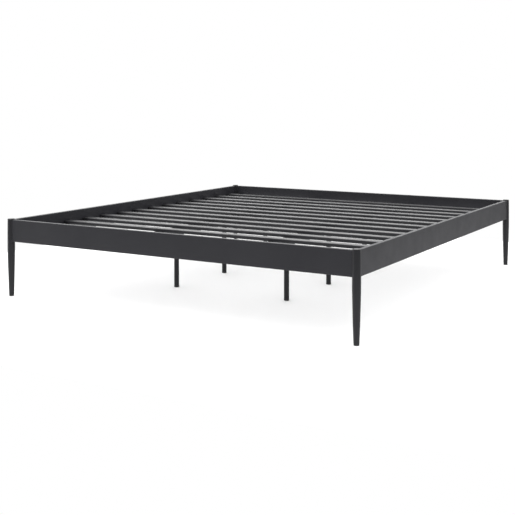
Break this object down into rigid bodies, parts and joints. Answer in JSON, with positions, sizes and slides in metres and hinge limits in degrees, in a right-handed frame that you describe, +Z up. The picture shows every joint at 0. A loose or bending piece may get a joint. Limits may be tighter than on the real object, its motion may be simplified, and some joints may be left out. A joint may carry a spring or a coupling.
{
  "type": "metal bed frame",
  "caption": "Low steel bed frame: flat rails between tapered round corner legs, steel slats on two centre beams with height-adjustable support legs.",
  "frame": {"origin": "on the floor, below the middle of the frame", "axes": "+X across the bed towards its right-hand side rail, +Y along the bed from the foot rail to the head rail, +Z up"},
  "size_m": [1.876, 2.076, 0.377],
  "materials": {
    "rail_steel": "satin black powder coat",
    "leg_steel": "satin black powder coat",
    "bracket_steel": "black powder coat",
    "slat_steel": "satin black powder coat",
    "black_plastic": "moulded, fine grain",
    "bolt_steel": "black zinc"
  },
  "bodies": {
    "frame": {"corner_leg_foot_left": "leg_steel", "leg_cap_foot_left": "black_plastic", "leg_glide_foot_left": "black_plastic", "corner_bracket_foot_left": "bracket_steel", "leg_bolt_foot_left": "bolt_steel", "corner_leg_foot_right": "leg_steel", "leg_cap_foot_right": "black_plastic", "leg_glide_foot_right": "black_plastic", "corner_bracket_foot_right": "bracket_steel", "leg_bolt_foot_right": "bolt_steel", "corner_leg_head_right": "leg_steel", "leg_cap_head_right": "black_plastic", "leg_glide_head_right": "black_plastic", "corner_bracket_head_right": "bracket_steel", "leg_bolt_head_right": "bolt_steel", "corner_leg_head_left": "leg_steel", "leg_cap_head_left": "black_plastic", "leg_glide_head_left": "black_plastic", "corner_bracket_head_left": "bracket_steel", "leg_bolt_head_left": "bolt_steel", "foot_rail": "rail_steel", "head_rail": "rail_steel", "side_rail_left": "rail_steel", "side_rail_right": "rail_steel", "slat_ledge_left": "bracket_steel", "centre_beam_left": "bracket_steel", "beam_hanger_foot_left": "bracket_steel", "beam_hanger_head_left": "bracket_steel", "support_leg_left_1": "leg_steel", "support_leg_left_2": "leg_steel", "support_leg_left_3": "leg_steel", "slat_ledge_right": "bracket_steel", "centre_beam_right": "bracket_steel", "beam_hanger_foot_right": "bracket_steel", "beam_hanger_head_right": "bracket_steel", "support_leg_right_1": "leg_steel", "support_leg_right_2": "leg_steel", "support_leg_right_3": "leg_steel", "slat_01": "slat_steel", "slat_02": "slat_steel", "slat_03": "slat_steel", "slat_04": "slat_steel", "slat_05": "slat_steel", "slat_06": "slat_steel", "slat_07": "slat_steel", "slat_08": "slat_steel", "slat_09": "slat_steel", "slat_10": "slat_steel", "slat_11": "slat_steel", "slat_12": "slat_steel", "slat_13": "slat_steel", "slat_14": "slat_steel"},
    "foot_left_1": {"levelling_foot_left_1": "black_plastic"},
    "foot_left_2": {"levelling_foot_left_2": "black_plastic"},
    "foot_left_3": {"levelling_foot_left_3": "black_plastic"},
    "foot_right_1": {"levelling_foot_right_1": "black_plastic"},
    "foot_right_2": {"levelling_foot_right_2": "black_plastic"},
    "foot_right_3": {"levelling_foot_right_3": "black_plastic"}
  },
  "joints": [
    {"name": "foot_screw_left_1", "type": "slide", "parent": "frame", "child": "foot_left_1", "axis": [0, 0, -1], "range_m": [0, 0.012]},
    {"name": "foot_screw_left_2", "type": "slide", "parent": "frame", "child": "foot_left_2", "axis": [0, 0, -1], "range_m": [0, 0.012]},
    {"name": "foot_screw_left_3", "type": "slide", "parent": "frame", "child": "foot_left_3", "axis": [0, 0, -1], "range_m": [0, 0.012]},
    {"name": "foot_screw_right_1", "type": "slide", "parent": "frame", "child": "foot_right_1", "axis": [0, 0, -1], "range_m": [0, 0.012]},
    {"name": "foot_screw_right_2", "type": "slide", "parent": "frame", "child": "foot_right_2", "axis": [0, 0, -1], "range_m": [0, 0.012]},
    {"name": "foot_screw_right_3", "type": "slide", "parent": "frame", "child": "foot_right_3", "axis": [0, 0, -1], "range_m": [0, 0.012]}
  ]
}
